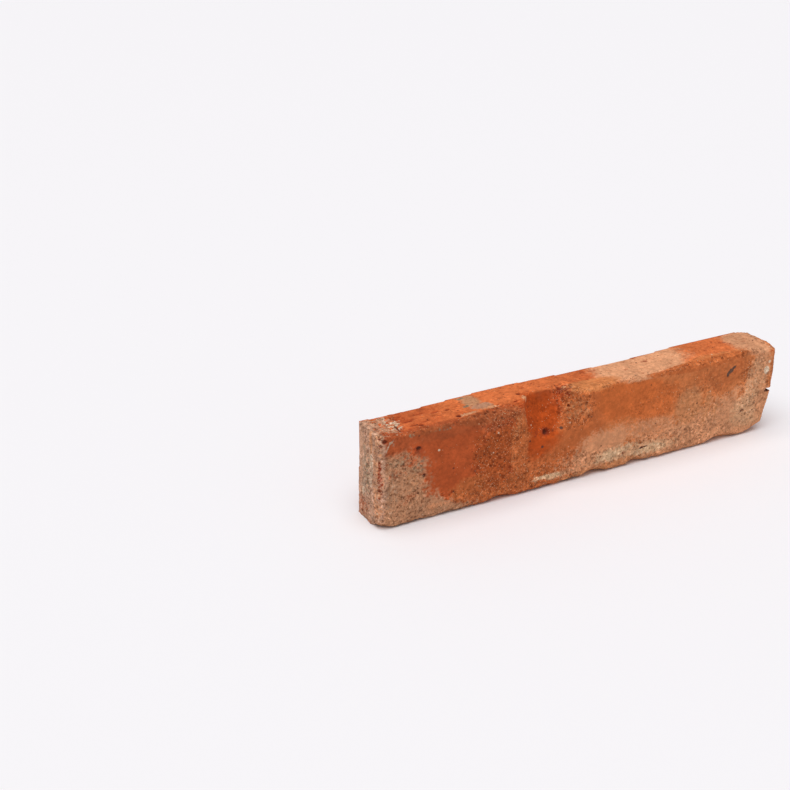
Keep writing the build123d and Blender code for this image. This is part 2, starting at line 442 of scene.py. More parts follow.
# %% Relief tree
def relief_tree(material):
    """Moves the skin by noises, creases, pits and wear, and stores how hollow and rough it is."""
    tree, size, out = new_tree("relief of fired clay", RELIEF)
    position = add(tree, "GeometryNodeInputPosition").outputs["Position"]
    place = scaled(tree, position, 1 / MM)
    x, y, z = split(tree, place)
    normal = add(tree, "GeometryNodeInputNormal").outputs["Normal"]
    normal_x, normal_y, normal_z = split(tree, normal)
    on_bed = soft_step(tree, normal_z, 0.5, 0.85)

    def layer(width, height, detail, seed_step):
        """A noise about zero, of this width and height."""
        made = noise(tree, place, 1.0, detail, 0.55, plus(tree, size["Seed"], seed_step))
        tree.links.new(calc(tree, "DIVIDE", 1.0, width), made.inputs["Scale"])
        centred = calc(tree, "MULTIPLY_ADD", made.outputs["Fac"], 2.0, -1.0)
        return times(tree, centred, height)

    # Weather has softened every rim but those of the saw cut
    eased = add(tree, "GeometryNodeBlurAttribute", {
        0: position, "Iterations": size["Softening"],
    }, data_type="FLOAT_VECTOR").outputs[0]
    off_the_cut = soft_step(tree, y, SAW_CUT - 0.6, SAW_CUT - 2.5)
    mixed = add(tree, "ShaderNodeMix", {0: off_the_cut, 4: position, 5: eased}, data_type="VECTOR")
    softened = add(tree, "GeometryNodeSetPosition", {
        "Geometry": size["Geometry"], "Position": mixed.outputs[1],
    })

    # How near the edges are, and how rough the skin is
    edges = edge_distances(tree, x, y, z, size["Arris reach"])
    nearest = edges[0]
    for edge in edges[1:]:
        nearest = calc(tree, "MINIMUM", nearest, edge)
    rough = roughness_of(tree, place, on_bed, edges, nearest)

    # What rises: swell, lumps, grain and ribs
    swell = layer(size["Swell width"], size["Swell height"], 1.0, 0.0)
    lumps = layer(size["Lump width"], size["Lump height"], 3.0, 10.0)
    lumps = times(tree, lumps, plus(tree, rough, 0.25))
    grain = times(tree, layer(size["Grain width"], size["Grain height"], 3.0, 20.0), rough)
    ribs = end_ribs(tree, x, y, z, normal_x, size)
    ragged = times(tree, layer(2.0, 1.0, 2.0, 40.0), 0.35)
    proud = strongest(tree, place, ragged, LUMPS)
    fine = plus(tree, plus(tree, lumps, grain), plus(tree, ribs, proud))

    # What is lost: creases, pits, crumbs of the arrises, and dents
    torn = creases(tree, x, y, z, on_bed, size)
    pitted = pits(tree, place, rough, size)
    worn = worn_off(tree, edges, nearest, layer(size["Arris crumb width"], 1.0, 4.0, 30.0), size)
    dents = strongest(tree, place, ragged, DENTS)
    lost = plus(tree, plus(tree, torn, pitted), plus(tree, worn, dents))
    skin = calc(tree, "SUBTRACT", plus(tree, swell, fine), lost)

    # On the back the ripples of the saw take the place of all this
    sawn = soft_step(tree, y, SAW_CUT - 1.2, SAW_CUT - 0.3)
    sawn = times(tree, sawn, soft_step(tree, normal_y, 0.3, 0.8))
    ripple = noise(tree, blade_path(tree, x, z), 1.0, 2.0, 0.5, 7.0).outputs["Fac"]
    ripple = times(tree, ripple, size["Saw ripple"], -1.0)
    shift = add(tree, "ShaderNodeMix", {"Factor": sawn, "A": skin, "B": ripple}).outputs["Result"]

    # How hollow the skin is, for the dirt that gathers in it and the painted shade of its hollows, is
    # captured together with how rough it is
    hollow = calc(tree, "SUBTRACT", plus(tree, torn, plus(tree, pitted, dents)), fine)
    hollow = times(tree, hollow, calc(tree, "SUBTRACT", 1.0, sawn))
    kept = add(tree, "GeometryNodeCaptureAttribute", {"Geometry": softened.outputs[0]}, domain="POINT")
    for number, (name, value) in enumerate((("hollow", hollow), ("rough", rough)), 1):
        kept.capture_items.new("FLOAT", name)
        tree.links.new(value, kept.inputs[number])

    # The points move along their normals, but never past the bed that the slip stands on
    offset = scaled(tree, normal, times(tree, shift, MM))
    moved = add(tree, "GeometryNodeSetPosition", {"Geometry": kept.outputs["Geometry"], "Offset": offset})
    new_x, new_y, new_z = split(tree, position)
    lifted = join(tree, new_x, new_y, calc(tree, "MAXIMUM", new_z, 0.0))
    stored = add(tree, "GeometryNodeSetPosition", {"Geometry": moved.outputs[0], "Position": lifted})
    for number, name in enumerate(("hollow", "rough"), 1):
        stored = add(tree, "GeometryNodeStoreNamedAttribute", {
            "Geometry": stored.outputs[0], "Name": name, "Value": kept.outputs[number],
        }, data_type="FLOAT", domain="POINT")
    return end_tree(tree, stored.outputs[0], material, out)


# %% [markdown]
# ## Colours of the fire
# The clay fired orange red, but the kiln's flame, the moulding sand, lime from the wall and the saw left
# it patchy. A photograph could be laid over it, but a colour that belongs to the clay, seen from any
# side, is better mixed in the material. The palette below has a few clays, sands and stains, each as it
# would look in plain daylight. Each patch is an egg-shaped region with ragged edges that turns the
# colour towards one of them.

# %% Palette
def daylight(red, green, blue):
    """A colour as seen on a screen, turned into the linear light that shaders mix."""
    screen = (red, green, blue)
    linear = [((c / 255 + 0.055) / 1.055) ** 2.4 if c > 10 else c / 255 / 12.92 for c in screen]
    return (*linear, 1.0)


BRICK_RED = daylight(186, 87, 45)
DUSKY_RED = daylight(172, 84, 46)
# Deep red is also laid in the hollows and along the bed's tears as painted shade
DEEP_RED_AND_SHADE = daylight(142, 56, 32)
BROWN_CLAY = daylight(175, 86, 42)
BURNT_ORANGE = daylight(187, 79, 28)
GOLD_CLAY = daylight(194, 106, 58)
CLAY_ORANGE = daylight(206, 109, 55)
TAN_CLAY = daylight(205, 121, 71)
STRAW_SAND = daylight(206, 138, 92)
ROSE_BUFF = daylight(217, 152, 110)
BISCUIT = daylight(215, 149, 107)
PALE_SAND = daylight(220, 166, 125)
KILN_GREY = daylight(190, 137, 102)
ASH_PINK = daylight(202, 155, 127)
ASH_GREY = daylight(184, 152, 126)
LIME = daylight(222, 196, 168)
SAND_CREAM = daylight(226, 186, 146)
MOSS_GREY = daylight(138, 124, 100)
FILM_BEIGE = daylight(197, 141, 103)
FILM_PINK = daylight(188, 136, 106)
SLATE = daylight(100, 74, 62)
SCAR_BROWN = daylight(168, 88, 50)
# Iron brown is also laid in pits, holes, slits, the crack and the deepest hollows as painted shade
IRON_AND_SHADE = daylight(80, 46, 36)
BED_RED = daylight(216, 115, 64)
BED_ORANGE = daylight(205, 126, 75)
BED_BUFF = daylight(221, 157, 116)
BED_TAN = daylight(212, 150, 111)

# %% [markdown]
# A patch is written as one line of a table, which is quick to read beside a photograph and to correct.
# The edge of a patch says how much it thins out into single grains, how ragged its line is, and how wide
# it fades. Sand thins out in grains, a stain is soft, a break has a line, a net is a web of veins, a haze
# is a wide veil, and a drift ends softly.

# %% Patches
# Most patches lie just inside the bed, the face, its foot or the left end
TOP = BED_ABOVE - 1
FRONT = FACE + 0.5
FOOT = BED_BELOW + 1
END = LEFT_END + 0.5
SAND = (1.1, 1.1, 0.75)
STAIN = (0.3, 1.1, 0.75)
BREAK = (0.4, 0.7, 0.35)
NET = (1.4, 1.1, 0.75)
HAZE = (0.9, 1.1, 1.3)
DRIFT = (0.4, 0.5, 0.6)

# Short tears in the bed, which are dents with painted shade in them: where they are along and across it,
# and how far they reach to each side
BED_TEARS = [
    (-90.7, 5.5, 3.6),
    (-98.0, 1.3, 3.2),
    (-81.8, 3.3, 3.0),
    (-75.9, 2.8, 2.2),
    (-90.5, -2.5, 2.6),
    (-97.0, -3.8, 2.6),
]

# Each patch: its colour, its centre and radii in millimetres, how strongly it colours, its edge, and the
# degrees of its tilt as seen from the front, if it has one
PATCHES = [
    # The face: first what the fire did to whole parts of it, from the left to the right
    (TAN_CLAY, (60, FRONT, 26), (72, 7, 44), 1.0, STAIN),
    (GOLD_CLAY, (-22, FRONT, 12), (28, 12, 17), 1.0, STAIN),
    (GOLD_CLAY, (-8, FRONT, 37), (22, 6, 22), 1.0, STAIN),
    (DUSKY_RED, (-88, FRONT, 48), (36, 5, 6), 0.9, STAIN, -1),
    (ROSE_BUFF, (84, FRONT, 9), (52, 12, 19), 0.95, HAZE, 6),
    (BROWN_CLAY, (84, FRONT, 41), (26, 5, 13), 0.4, STAIN),
    (CLAY_ORANGE, (22, FRONT, 41), (22, 5, 15), 1.0, STAIN),
    (CLAY_ORANGE, (40, FRONT, 35), (22, 6, 14), 0.7, STAIN),
    (BURNT_ORANGE, (-29, -8, 39), (16, 12, 20), 1.0, STAIN),
    (BURNT_ORANGE, (-33, FRONT, 25), (9, 8, 9), 0.6, STAIN, 15),
    # The blooms of sand and kiln dust that lie over it
    (KILN_GREY, (-110, FRONT, 20), (19, 10, 26), 0.95, HAZE),
    (KILN_GREY, (-96, FRONT, 5), (29, 12, 11), 0.95, HAZE, -5),
    (BRICK_RED, (-82, FRONT, 15), (5.5, 8, 9), 0.9, SAND, 8),
    (ASH_GREY, (-113, FRONT, 22), (7, 8, 16), 0.35, SAND),
    (BISCUIT, (-101, FRONT, 20), (8, 8, 11), 0.3, SAND, 10),
    (BRICK_RED, (-110, FRONT, 29), (7, 6, 4), 0.35, HAZE),
    (DUSKY_RED, (-105, FRONT, 14), (9, 6, 4), 0.35, HAZE, 30),
    (DUSKY_RED, (-94, FRONT, 8), (9, 6, 3), 0.3, HAZE),
    (STRAW_SAND, (-100, FRONT, 25), (6, 6, 6), 0.4, HAZE, 40),
    (BRICK_RED, (-103, FRONT, 34), (5, 6, 3.5), 0.5, SAND),
    (MOSS_GREY, (-108, FRONT, 36), (11, 5, 4), 0.35, SAND, -8),
    (MOSS_GREY, (-98, FRONT, 31), (5, 5, 6), 0.35, SAND, -40),
    (DUSKY_RED, (-114, -10, 47), (15, 6, 7.5), 1.0, STAIN),
    (ASH_GREY, (-116, -9, 46.5), (5, 4, 5), 0.5, NET),
    (BISCUIT, (-86, FRONT, 5), (9, 6, 4), 0.7, SAND, -8),
    (GOLD_CLAY, (-62, FRONT, 9), (24, 12, 11), 0.9, SAND),
    (BROWN_CLAY, (-54, FRONT, 28), (17, 10, 23), 0.85, HAZE, -8),
    (DUSKY_RED, (-55, FRONT, 47), (16, 7, 8), 0.8, SAND),
    (MOSS_GREY, (-57, FRONT, 45), (10, 6, 5), 0.25, SAND),
    (GOLD_CLAY, (-42, FRONT, 27), (6, 9, 27), 0.9, SAND),
    (STRAW_SAND, (-44, FRONT, 40), (4, 8, 9), 0.35, SAND),
    (STRAW_SAND, (-9, FRONT, 41), (12, 8, 8), 0.4, SAND, -8),
    (BISCUIT, (-12, FRONT, 10), (16, 10, 8), 0.5, SAND, 20),
    (SAND_CREAM, (-24, FRONT, 5.5), (13, 8, 3.2), 0.8, SAND),
    (BISCUIT, (-4, FRONT, 6), (14, 8, 4), 0.8, HAZE),
    (BISCUIT, (8, FRONT, 14), (20, 12, 12), 1.0, HAZE, 20),
    (BISCUIT, (19, FRONT, 20), (13, 10, 7), 0.55, HAZE, 30),
    (ROSE_BUFF, (30, FRONT, 21), (12, 10, 8), 0.4, HAZE),
    (SAND_CREAM, (20, FRONT, 9), (21, 9, 6), 0.75, HAZE, 4),
    (SAND_CREAM, (11, FRONT, 10), (8, 8, 5), 0.6, HAZE),
    (ROSE_BUFF, (40, FRONT, 18), (18, 10, 9), 0.6, DRIFT),
    (PALE_SAND, (38, FRONT, 5), (23, 12, 8), 1.0, SAND),
    (SAND_CREAM, (38, FRONT, 6.5), (14, 9, 4), 0.6, SAND, 5),
    (STRAW_SAND, (62, FRONT, 27), (11, 8, 13), 0.7, DRIFT),
    (STRAW_SAND, (74, FRONT, 24), (3, 7, 15), 0.6, HAZE, -5),
    (STRAW_SAND, (80, FRONT, 22), (2.5, 7, 12), 0.5, HAZE, -8),
    (PALE_SAND, (107, FRONT, 30), (9, 9, 26), 0.6, DRIFT, -8),
    (PALE_SAND, (103, FRONT, 15), (14, 12, 11), 0.95, HAZE),
    (BISCUIT, (113, -8, 18), (8, 12, 12), 0.8, STAIN),
    (BISCUIT, (114, -8, 40), (6, 14, 12), 0.5, SAND),
    # The foot of the face, down to the lower bed
    (KILN_GREY, (-95, -9, FOOT), (40, 10, 6), 0.9, SAND),
    (GOLD_CLAY, (-38, -9, FOOT), (40, 10, 6), 0.9, SAND),
    (STRAW_SAND, (12, -9, FOOT), (34, 10, 6), 0.8, SAND),
    (ROSE_BUFF, (74, -9, FOOT), (52, 10, 6), 0.9, SAND),
    # The upper bed
    (BED_BUFF, (39, 3, TOP), (33, 20, 3.2), 0.95, DRIFT),
    (BED_ORANGE, (3, -6, TOP), (20, 7, 3), 0.8, DRIFT),
    (BED_TAN, (110, 2, TOP), (18, 20, 5), 1.0, DRIFT),
    (BED_TAN, (64, 6, TOP), (10, 10, 4), 0.4, SAND),
    (FILM_BEIGE, (-61.5, 4, TOP), (5.5, 8, 4), 0.85, STAIN),
    (MOSS_GREY, (-65.5, 9.5, TOP), (3, 1.8, 4), 0.6, SAND),
    (MOSS_GREY, (-66, 0.3, TOP), (2.6, 1.5, 4), 0.6, SAND),
    (FILM_PINK, (-59, -2.5, TOP), (7, 3.4, 4), 0.85, SAND),
    (FILM_PINK, (-111, 2, TOP), (9, 10, 4), 0.6, NET),
    (ASH_PINK, (-108, 3, TOP), (7, 9, 4), 0.35, SAND),
    (LIME, (-106, 2, TOP), (4, 9, 4), 0.3, NET),
    # The scars along the front arris, and the cream line of sand above the longest of them
    (SCAR_BROWN, (-56, -11.5, TOP), (24, 5.4, 6), 0.95, BREAK),
    (SCAR_BROWN, (-93, -11.5, TOP), (16, 2.6, 3), 0.7, BREAK),
    (GOLD_CLAY, (68, -11.5, TOP), (38, 4.6, 4), 0.85, BREAK),
    (BISCUIT, (-69, -6.6, TOP), (7.5, 1.3, 3), 0.8, SAND),
    (BISCUIT, (-56, -5.2, TOP), (6.5, 1.1, 3), 0.7, SAND),
    (ROSE_BUFF, (-36, -3.5, TOP), (1.8, 2.0, 3), 0.6, SAND),
    (STRAW_SAND, (-38, -8, 44), (1.6, 4, 7), 0.5, SAND),
    (MOSS_GREY, (-84, FRONT, 48.4), (7, 2, 1.6), 0.35, SAND),
    (MOSS_GREY, (-102, FRONT, 48.6), (2, 2, 1.4), 0.5, SAND),
    (DEEP_RED_AND_SHADE, (-26, -9, TOP), (12, 7, 5), 0.5, STAIN),
    (DEEP_RED_AND_SHADE, (-13, -4, TOP), (7, 5, 4), 0.5, SAND),
    (BISCUIT, (-12, -2.5, TOP), (2.0, 1.4, 3), 0.8, BREAK),
    # Dark brown in the pits and tears of the bed, which are dents: painted shade
    (IRON_AND_SHADE, (-74, -6, TOP), (1.5, 1.3, 3), 0.8, BREAK),
    (IRON_AND_SHADE, (-36.6, 0.7, TOP), (1.4, 1.1, 3), 0.8, BREAK),
    (IRON_AND_SHADE, (-94, -5.1, TOP), (1.7, 1.1, 3), 0.8, BREAK),
    (IRON_AND_SHADE, (-106, -3.5, TOP), (0.7, 3.8, 3), 0.7, BREAK),
    *[(IRON_AND_SHADE, (x, y, TOP), (reach, 0.5, 3), 0.8, SAND) for x, y, reach in BED_TEARS],
    # The left end
    (ASH_PINK, (END, 0, 27), (5, 22, 42), 1.0, STAIN),
    (BISCUIT, (END, -8, 28), (5, 5, 36), 0.5, SAND),
    (DUSKY_RED, (END, 6, 6), (4, 9, 9), 0.5, HAZE),
    (MOSS_GREY, (END, 1, 25), (4, 3, 15), 0.45, SAND),
    (LIME, (END, -2, 31), (4, 2, 15), 0.6, SAND),
    (ASH_GREY, (END, 5, 26), (4, 3, 18), 0.6, SAND),
    (DEEP_RED_AND_SHADE, (-118.6, -10.3, 26), (2.0, 1.5, 13), 0.45, SAND),
    (DEEP_RED_AND_SHADE, (-118.7, -10.3, 35.5), (1.8, 1.5, 3.6), 0.5, SAND),
    (DEEP_RED_AND_SHADE, (-118.7, -10.2, 27.5), (1.8, 1.7, 4.2), 0.45, SAND),
    (DEEP_RED_AND_SHADE, (-118.3, -10.4, 20), (1.8, 1.7, 3.2), 0.4, SAND),
    (BISCUIT, (END, -1.5, 44), (4, 2, 8), 0.85, SAND),
    (LIME, (END, 6, 15), (4, 1.4, 5), 0.7, SAND),
    # The right end
    (TAN_CLAY, (RIGHT_END, 0, 30), (6, 24, 32), 0.9, STAIN),
    (GOLD_CLAY, (RIGHT_END, 6, 14), (8, 10, 12), 0.6, HAZE),
    (BISCUIT, (RIGHT_END, -3, 42), (6, 9, 9), 0.6, HAZE),
    (BISCUIT, (RIGHT_END, 2, 20), (8, 8, 7), 0.5, HAZE),
    (KILN_GREY, (RIGHT_END, 6, 34), (6, 7, 9), 0.5, HAZE),
    # Single marks: a slash of soot, two dark pebbles, a white one, a fleck of quartz, and painted shade in
    # a pit, the blow holes, the slits and the crack of the right end
    (SLATE, (88.0, FRONT, 41.2), (3.2, 3, 1.4), 0.9, NET, 45),
    (SLATE, (90.2, FRONT, 43.0), (1.7, 3, 1.2), 0.9, SAND, 15),
    (SLATE, (86.4, FRONT, 39.6), (1.0, 3, 1.5), 0.9, SAND),
    (SLATE, (-17.3, FRONT, 32.3), (1.1, 3, 1.0), 0.8, BREAK),
    (SLATE, (-28.3, FRONT, 24.5), (0.9, 3, 0.8), 0.8, BREAK),
    # A pit in the scar: darker red round it, and dark brown in it as painted shade
    (DEEP_RED_AND_SHADE, (-25.6, -8.6, 31.4), (3.4, 5, 2.8), 0.6, STAIN),
    (DEEP_RED_AND_SHADE, (-31.2, -9.9, 32.2), (3.2, 4, 0.9), 0.5, STAIN, 20),
    (IRON_AND_SHADE, (-25.2, -8.6, 31.2), (1.7, 4, 1.5), 0.65, SAND),
    # Two blow holes: darker red round the upper one, and dark brown in both as painted shade
    (DEEP_RED_AND_SHADE, (-98.6, FRONT, 40.2), (4.2, 3, 3.0), 0.5, STAIN, -20),
    (IRON_AND_SHADE, (-98.0, FRONT, 40.6), (2.3, 3, 1.8), 0.6, SAND),
    (IRON_AND_SHADE, (-95.2, FRONT, 25.3), (1.2, 3, 1.1), 0.7, SAND),
    (LIME, (-87.4, FRONT, 37.3), (0.8, 3, 0.7), 1.0, BREAK),
    (LIME, (112.8, -11, 36.5), (1.9, 4, 2.5), 0.95, SAND),
    (LIME, (114.4, -11, 41.3), (0.9, 4, 1.0), 1.0, BREAK),
    # Dark brown in the mouth of the crack in the right end: painted shade
    (IRON_AND_SHADE, (116.5, -10.5, 23.9), (5.0, 4, 0.8), 0.75, SAND),
    # Dark brown in two thin slits of the face, which are dents: painted shade
    (IRON_AND_SHADE, (98.8, FRONT, 15.4), (1.9, 3, 0.7), 0.6, SAND, 25),
    (IRON_AND_SHADE, (34.6, FRONT, 9.0), (2.8, 3, 0.7), 0.7, SAND, 8),
]
print(len(PATCHES), "patches of colour")

# %% [markdown]
# ## Fired clay material
# The chain starts with brick red and bed red, passes through the patches, and ends with what is the same
# everywhere: blotches, sand specks, and dirt and painted shade in the hollows. The ragged edge of a patch
# is its distance
# plus a noise that has forms from ten millimetres down to one, which gives both bays and single crumbs.
# The specks are cells of a Voronoi pattern, because grains of sand are dots and not waves.

# %% Tools for colours
def mix_colour(tree, amount, under, over, blend="MIX"):
    """Lays one colour over another."""
    inputs = {"Factor": amount, 6: under, 7: over}
    return add(tree, "ShaderNodeMix", inputs, data_type="RGBA", blend_type=blend).outputs[2]


def shaded(tree, colour, shade):
    """A colour made darker or lighter by a number."""
    return mix_colour(tree, 1.0, colour, join(tree, shade, shade, shade), "MULTIPLY")


def cells_of(tree, place, spacing, seed):
    """Cells this many millimetres apart: the distance from a cell's middle, and its random numbers."""
    cells = add(tree, "ShaderNodeTexVoronoi", {
        "Vector": place, "W": seed, "Scale": 1 / spacing,
    }, voronoi_dimensions="4D")
    return cells.outputs["Distance"], split(tree, cells.outputs["Color"])


def specks(tree, place, spacing, share, radius, seed):
    """Round dots in a share of the cells of a pattern, with a random number for each dot."""
    distance, chance = cells_of(tree, place, spacing, seed)
    dot = soft_step(tree, distance, radius * 1.25, radius * 0.7)
    return times(tree, dot, calc(tree, "LESS_THAN", chance[0], share)), chance[1]


# %% Layers of colour: patches and blotches
def with_patches(tree, place, ragged, colour):
    """The colour with all patches laid over it, one after the other."""
    # Grains that decide where a thin patch covers and where the ground shows through
    crumbs = split(tree, noise(tree, place, 1.5, 2.0, 0.6, 9.0).outputs["Color"])
    crumbs = [soft_step(tree, channel, 0.25, 0.75) for channel in crumbs]

    # Thin veins, which are where a noise is close to its middle
    veins = noise(tree, place, 4.5, 2.0, 0.6, 15.0).outputs["Fac"]
    veins = calc(tree, "ABSOLUTE", calc(tree, "SUBTRACT", veins, 0.5))
    veins = soft_step(tree, veins, 0.02, 0.10)

    # The ragged noise is 0.5 on average, so a patch ends 0.875 of its radii from its centre, more or less
    for number, (paint, centre, radii, cover, edge, *tilt) in enumerate(PATCHES):
        grainy, raggedness, fade = edge
        line = 0.875 + 0.5 * raggedness
        away = egg(tree, place, centre, radii, *tilt)
        away = calc(tree, "MULTIPLY_ADD", ragged[number % 3], raggedness, away)
        inside = soft_step(tree, away, line + fade / 2, line - fade / 2, 0.0, cover * (1 + grainy))
        between = veins if edge is NET else crumbs[(number + 1) % 3]
        shown = calc(tree, "SUBTRACT", inside, times(tree, between, grainy))
        colour = mix_colour(tree, soft_step(tree, shown, 0.0, 1.0), colour, paint)
    return colour


def with_blotches(tree, place, rough, colour):
    """The colour with lighter and darker blotches, and with finer ones where sand lies on it."""
    blotch = noise(tree, place, 7.0, 4.0, 0.6, 2.0).outputs["Fac"]
    shade = soft_step(tree, blotch, 0.3, 0.7, 0.86, 1.14)
    mottle = noise(tree, place, 1.8, 3.0, 0.7, 12.0).outputs["Fac"]
    depth = calc(tree, "MULTIPLY_ADD", rough, 0.14, 0.07)
    mottle = times(tree, soft_step(tree, mottle, 0.3, 0.7, -1.0, 1.0), depth)
    return shaded(tree, colour, times(tree, shade, plus(tree, mottle, 1.0)))


# %% Layers of colour: sand, painted shade of tears, and specks
def with_sand(tree, place, rough, colour):
    """The colour with grains of sand: dark ones, pale ones, and those that match the clay."""
    sandy = soft_step(tree, rough, 0.35, 1.35, 0.15, 1.0)
    for spacing, seed, strength in ((1.1, 11.0, 0.85), (1.9, 12.0, 0.7)):
        distance, chance = cells_of(tree, place, spacing, seed)
        grain = times(tree, soft_step(tree, distance, 0.75, 0.35, 0.0, strength), sandy)
        dark = times(tree, grain, soft_step(tree, chance[0], 0.45, 0.15))
        colour = mix_colour(tree, dark, colour, (0.50, 0.44, 0.40, 1.0), "MULTIPLY")
        pale = times(tree, grain, soft_step(tree, chance[0], 0.70, 0.97))
        colour = mix_colour(tree, pale, colour, (1.35, 1.48, 1.6, 1.0), "MULTIPLY")
    return colour


def with_painted_tear_shade(tree, x, y, z, above, colour):
    """The colour with short dark tears along the bed: painted shade, as in creases."""
    tears = noise(tree, drawn_out(tree, x, y, z, 3.6, 0.9), 1.0, 2.0, 0.6, 14.0).outputs["Fac"]
    tears = soft_step(tree, tears, 0.40, 0.33, 0.0, 0.7)
    return mix_colour(tree, times(tree, tears, above), colour, DEEP_RED_AND_SHADE)


def with_specks(tree, place, rough, colour):
    """The colour with single specks of iron and lime, more of them where the skin is rough."""
    for paint, spacing, share, radius, seed in ((IRON_AND_SHADE, 2.4, 0.10, 0.26, 1.0), (LIME, 2.6, 0.07, 0.22, 3.0)):
        crowd = calc(tree, "MULTIPLY_ADD", rough, share, 0.01)
        here, chance = specks(tree, place, spacing, crowd, radius, seed)
        here = times(tree, here, calc(tree, "MULTIPLY_ADD", chance, 0.5, 0.4))
        colour = mix_colour(tree, here, colour, paint)
    return colour


# %% [markdown]
# The saw cut shows the inside of the brick, which the fire and the weather never reached: even baked
# clay, grog, sand and the arcs of the blade. Grog is ground old brick that was mixed into the clay.

# %% Colour of the saw cut
CUT_SPECKS = [
    # colour, spacing, share of the cells, radius in spacings, seed, strength
    (DEEP_RED_AND_SHADE, 1.5, 0.30, 0.34, 18.0, 0.55),
    (STRAW_SAND, 1.3, 0.28, 0.32, 17.0, 0.5),
    (BISCUIT, 2.6, 0.20, 0.34, 6.0, 0.7),
    (DUSKY_RED, 5.5, 0.35, 0.32, 19.0, 0.7),
    (IRON_AND_SHADE, 3.1, 0.14, 0.26, 7.0, 0.8),
    (LIME, 4.5, 0.12, 0.20, 20.0, 0.6),
]


def cut_colour(tree, place, x, z):
    """The colour of the sawn back."""
    baked = noise(tree, place, 5.0, 5.0, 0.75, 16.0).outputs["Fac"]
    cut = mix_colour(tree, soft_step(tree, baked, 0.35, 0.65, 0.05, 0.7), BRICK_RED, CLAY_ORANGE)
    for paint, spacing, share, radius, seed, strength in CUT_SPECKS:
        here = specks(tree, place, spacing, share, radius, seed)[0]
        cut = mix_colour(tree, times(tree, here, strength), cut, paint)
    arcs = noise(tree, blade_path(tree, x, z), 1.0, 2.0, 0.5, 7.0).outputs["Fac"]
    return shaded(tree, cut, soft_step(tree, arcs, 0.3, 0.7, 0.9, 1.07))


# %% Fired clay
def dull_material(name, roughness, shine):
    """A new material with a dull shader. Returns it with the inputs of the shader."""
    material = bpy.data.materials.new(name)
    material.use_nodes = True
    inputs = material.node_tree.nodes["Principled BSDF"].inputs
    inputs["Roughness"].default_value = roughness
    inputs["Specular IOR Level"].default_value = shine
    return material, inputs


def clay_material():
    """The fired clay, from the fire's patches down to the single grains."""
    material, shader = dull_material("fired clay", 0.9, 0.15)
    tree = material.node_tree
    place = scaled(tree, add(tree, "ShaderNodeTexCoord").outputs["Object"], 1 / MM)
    x, y, z = split(tree, place)
    hollow = add(tree, "ShaderNodeAttribute", attribute_name="hollow").outputs["Fac"]
    rough = add(tree, "ShaderNodeAttribute", attribute_name="rough").outputs["Fac"]
    sawn = soft_step(tree, y, SAW_CUT - 0.5, SAW_CUT - 0.15)

    # Ground colour: the face, and the bed above it
    ragged = split(tree, noise(tree, place, 9.0, 4.0, 0.6, 1.0).outputs["Color"])
    bed_line = calc(tree, "MULTIPLY_ADD", ragged[0], 3.0, BED_ABOVE - 3.4)
    above = soft_step(tree, calc(tree, "SUBTRACT", z, bed_line), 0.0, 1.6)
    colour = mix_colour(tree, above, BRICK_RED, BED_RED)

    # What lies over it, and the saw cut
    colour = with_patches(tree, place, ragged, colour)
    colour = with_blotches(tree, place, rough, colour)
    colour = with_sand(tree, place, rough, colour)
    # Painted shade of short tears along the bed
    colour = with_painted_tear_shade(tree, x, y, z, above, colour)
    colour = with_specks(tree, place, rough, colour)
    colour = mix_colour(tree, sawn, colour, cut_colour(tree, place, x, z))

    # Dirt and shade in the hollows
    colour = mix_colour(tree, soft_step(tree, hollow, 0.12, 1.0, 0.0, 0.72), colour, DEEP_RED_AND_SHADE)
    colour = mix_colour(tree, soft_step(tree, hollow, 0.7, 1.8, 0.0, 0.7), colour, IRON_AND_SHADE)

    # Grit too fine for the mesh
    grit = noise(tree, place, 0.7, 3.0, 0.6, 8.0).outputs["Fac"]
    strength = calc(tree, "MULTIPLY_ADD", rough, 0.35, 0.12)
    bump = add(tree, "ShaderNodeBump", {"Strength": strength, "Distance": 0.35 * MM, "Height": grit})
    tree.links.new(colour, shader["Base Color"])
    tree.links.new(bump.outputs[0], shader["Normal"])
    return material


clay = clay_material()
print("fired clay has", len(clay.node_tree.nodes), "nodes")

# %% [markdown]
# ## The weathered clay
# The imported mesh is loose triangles, so a copy of it is merged first. A voxel remesh then gives it even
# facets half a millimetre wide, fine enough for a grain of sand. The relief moves them, and a last
# decimation takes facets away where the clay is flat, such as on the saw cut, so that the ragged parts
# keep theirs.

# %% Tools for pieces
WELD = 0.002


def merged_copy(node, name):
    """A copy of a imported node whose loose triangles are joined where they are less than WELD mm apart."""
    shape = bmesh.new()
    shape.from_mesh(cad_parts[node].data)
    bmesh.ops.remove_doubles(shape, verts=shape.verts, dist=WELD * MM)
    mesh = bpy.data.meshes.new(name)
    shape.to_mesh(mesh)
    shape.free()
    return new_object(name, mesh)


def use_tree(piece, tree, values):
    """Puts a geometry tree on a piece, with its named sizes set before it is first evaluated."""
    modifier = piece.modifiers.new(tree.name, "NODES")
    modifier.node_group = tree
    for item in tree.interface.items_tree:
        if item.in_out == "INPUT" and item.name in values:
            modifier[item.identifier] = values[item.name]


def make_plain(piece):
    """Turns what the modifiers make into the piece's own mesh, and counts its triangles."""
    graph = bpy.context.evaluated_depsgraph_get()
    finished = bpy.data.meshes.new_from_object(piece.evaluated_get(graph), depsgraph=graph)
    piece.modifiers.clear()
    piece.data = finished
    return sum(len(face.vertices) - 2 for face in finished.polygons)


# %% Weathered clay
FACET = 0.5
MOST_TRIANGLES = 190000

